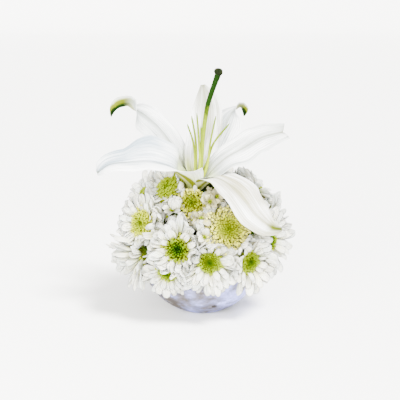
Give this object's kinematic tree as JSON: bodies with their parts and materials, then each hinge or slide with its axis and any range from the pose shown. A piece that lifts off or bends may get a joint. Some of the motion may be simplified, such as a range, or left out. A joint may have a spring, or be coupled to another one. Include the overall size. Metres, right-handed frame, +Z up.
{
  "type": "flower arrangement in pot",
  "caption": "Low round pale pot filled with a dome of white daisy mums and small white florets, with one open white lily standing above them.",
  "frame": {"origin": "centre of the flat foot that the pot stands on", "axes": "+Z up, +X to the right seen from the front, -Y towards the viewer of the picture"},
  "size_m": [0.1891, 0.1796, 0.2426],
  "materials": {
    "pot_glaze": "matte, mottled",
    "foam": "matte",
    "lily_white": "satin",
    "lily_green": "satin",
    "lily_pale": "satin",
    "mum_white": "matte",
    "mum_green": "matte",
    "floret_white": "matte"
  },
  "bodies": {
    "root": {"pot": "pot_glaze", "foam": "foam", "lily_tepals": "lily_white", "lily_stamens": "lily_pale", "lily_pistil": "lily_green", "lily_stem": "lily_green", "mum_01_rays": "mum_white", "mum_01_heart": "mum_green", "mum_02_rays": "mum_white", "mum_02_heart": "mum_green", "mum_03_rays": "mum_white", "mum_03_heart": "mum_green", "mum_04_rays": "mum_white", "mum_04_heart": "mum_green", "mum_05_rays": "mum_white", "mum_05_heart": "mum_green", "mum_06_rays": "mum_white", "mum_06_heart": "mum_green", "mum_07_rays": "mum_white", "mum_07_heart": "mum_green", "mum_08_rays": "mum_white", "mum_08_heart": "mum_green", "mum_09_rays": "mum_white", "mum_09_heart": "mum_green", "mum_10_rays": "mum_white", "mum_10_heart": "mum_green", "mum_11_rays": "mum_white", "mum_11_heart": "mum_green", "mum_12_rays": "mum_white", "mum_12_heart": "mum_green", "mum_13_rays": "mum_white", "mum_13_heart": "mum_green", "mum_14_rays": "mum_white", "mum_14_heart": "mum_green", "mum_15_rays": "mum_white", "mum_15_heart": "mum_green", "mum_16_rays": "mum_white", "mum_16_heart": "mum_green", "mum_17_rays": "mum_white", "mum_17_heart": "mum_green", "mum_18_rays": "mum_white", "mum_18_heart": "mum_green", "mum_19_rays": "mum_white", "mum_19_heart": "mum_green", "mum_20_rays": "mum_white", "mum_20_heart": "mum_green", "mum_21_rays": "mum_white", "mum_21_heart": "mum_green", "mum_22_rays": "mum_white", "mum_22_heart": "mum_green", "mum_23_rays": "mum_white", "mum_23_heart": "mum_green", "spray_1": "floret_white", "spray_2": "floret_white", "spray_3": "floret_white", "spray_4": "floret_white", "spray_5": "floret_white", "spray_6": "floret_white", "spray_7": "floret_white", "spray_8": "floret_white"}
  },
  "joints": []
}
